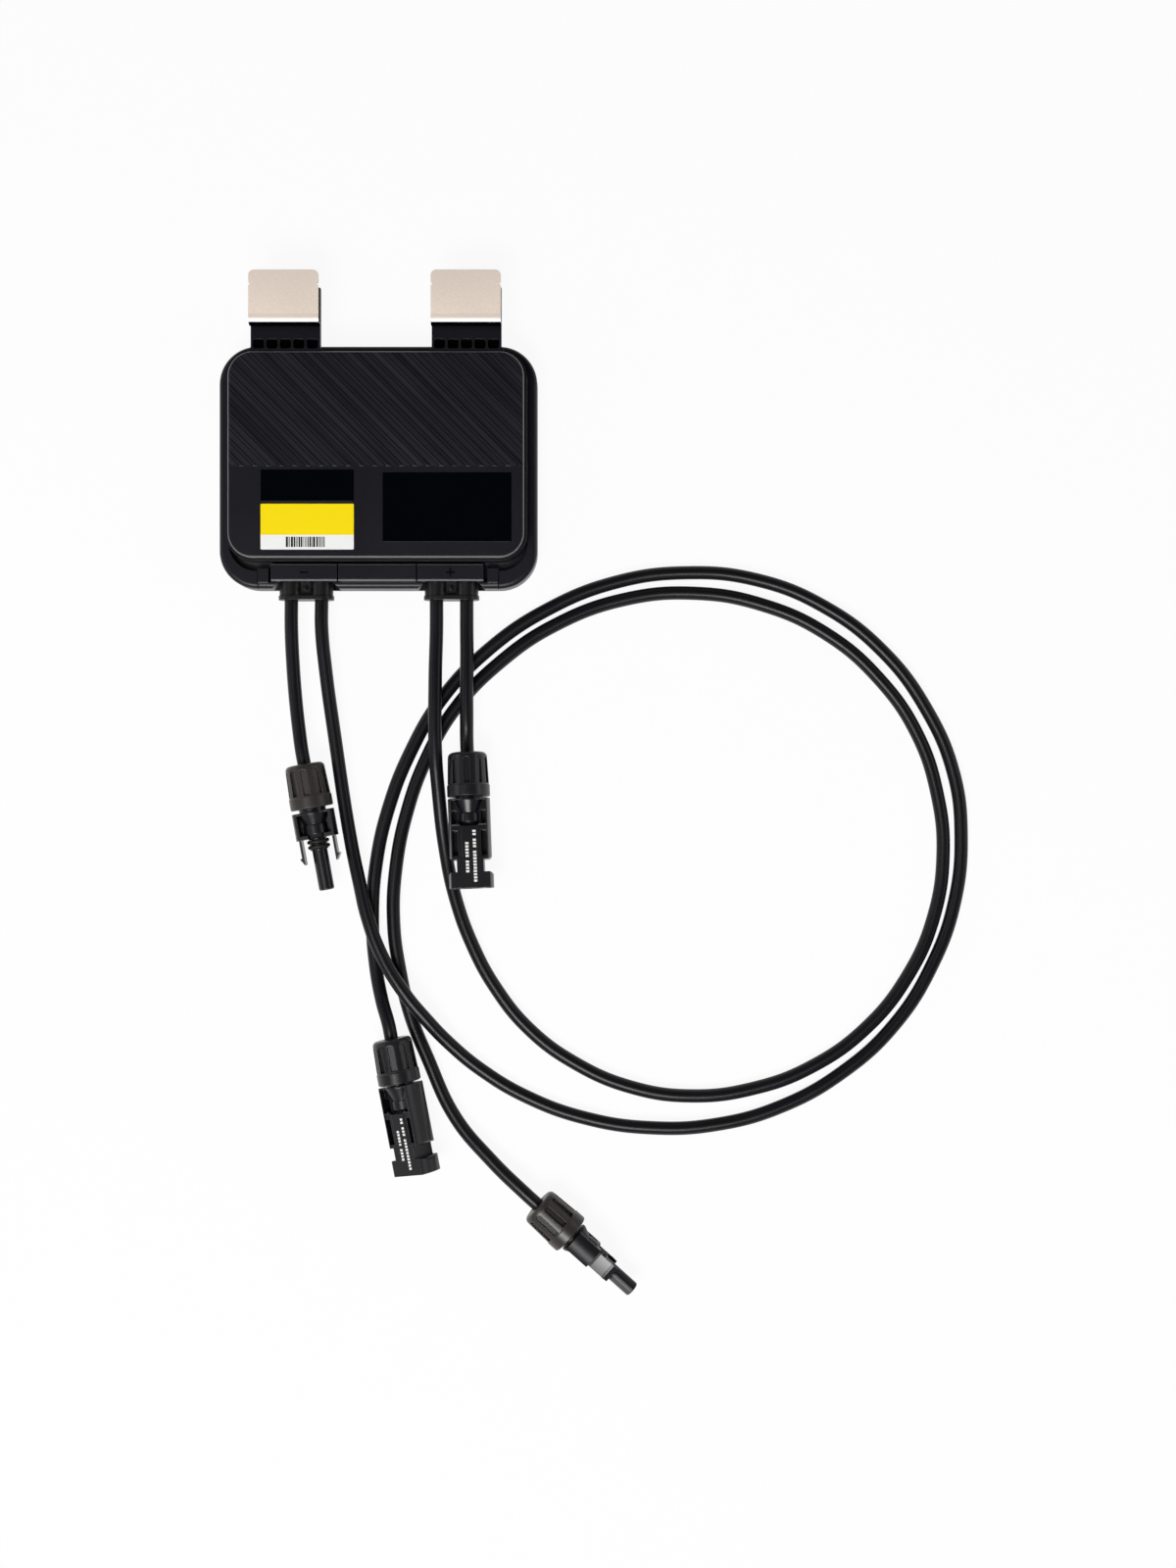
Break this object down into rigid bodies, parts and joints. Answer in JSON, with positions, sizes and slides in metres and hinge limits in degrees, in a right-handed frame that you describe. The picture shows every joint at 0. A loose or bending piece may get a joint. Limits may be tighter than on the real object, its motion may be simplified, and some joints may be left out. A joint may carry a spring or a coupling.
{
  "type": "power optimizer",
  "caption": "Flat moulded power optimizer for a solar module, with folded steel frame clips, rubber cable glands and short and long leads ending in cable couplers.",
  "frame": {"origin": "under the middle of the box with its clips and glands, on the face it lies on", "axes": "+X along the cable edge to the plus gland, +Y from the cable edge to the clips, +Z out of the cover's face"},
  "size_m": [0.3276, 0.4429, 0.0278],
  "materials": {
    "housing_plastic": "fine-grained black moulding",
    "cover_plastic": "fine-grained black moulding with diagonal ribs",
    "clip_steel": "satin stainless strip",
    "gland_rubber": "soft black rubber",
    "gasket_rubber": "soft black rubber",
    "lead_jacket": "smooth black cable jacket",
    "nut_plastic": "dull black moulding",
    "coupler_plastic": "satin black moulding",
    "seal_rubber": "black sealing rubber",
    "contact_metal": "tin-plated copper",
    "board_laminate": "green solder mask",
    "spreader_aluminium": "plain sheet",
    "pad_rubber": "thermal gap filler",
    "screw_steel": "zinc-plated",
    "ferrite": "pressed ferrite",
    "copper": "copper",
    "can_sleeve": "sleeved can",
    "film_case": "moulded case",
    "chip_plastic": "moulded package",
    "shield_can": "tinned shield"
  },
  "bodies": {
    "root": {"base_housing": "housing_plastic", "front_cover": "cover_plastic", "cover_gasket": "gasket_rubber", "frame_clip_left": "clip_steel", "frame_clip_right": "clip_steel", "minus_clamp_block": "housing_plastic", "plus_clamp_block": "housing_plastic", "minus_gland": "gland_rubber", "plus_gland": "gland_rubber", "heat_spreader": "spreader_aluminium", "thermal_pad": "pad_rubber", "circuit_board": "board_laminate", "board_screws": "screw_steel", "inductor_core": "ferrite", "inductor_winding": "copper", "input_capacitors": "can_sleeve", "output_capacitors": "film_case", "power_transistors": "chip_plastic", "controller_chip": "chip_plastic", "radio_module": "shield_can", "terminal_tabs": "copper", "minus_input_lead": "lead_jacket", "minus_output_lead": "lead_jacket", "plus_output_lead": "lead_jacket", "plus_input_lead": "lead_jacket", "minus_input_nut": "nut_plastic", "minus_input_seal": "seal_rubber", "minus_input_contact": "contact_metal", "minus_input_housing": "coupler_plastic", "minus_input_rings": "seal_rubber", "plus_input_nut": "nut_plastic", "plus_input_seal": "seal_rubber", "plus_input_contact": "contact_metal", "plus_input_housing": "coupler_plastic", "minus_output_nut": "nut_plastic", "minus_output_seal": "seal_rubber", "minus_output_contact": "contact_metal", "minus_output_housing": "coupler_plastic", "plus_output_nut": "nut_plastic", "plus_output_seal": "seal_rubber", "plus_output_contact": "contact_metal", "plus_output_housing": "coupler_plastic", "plus_output_rings": "seal_rubber"}
  },
  "joints": []
}
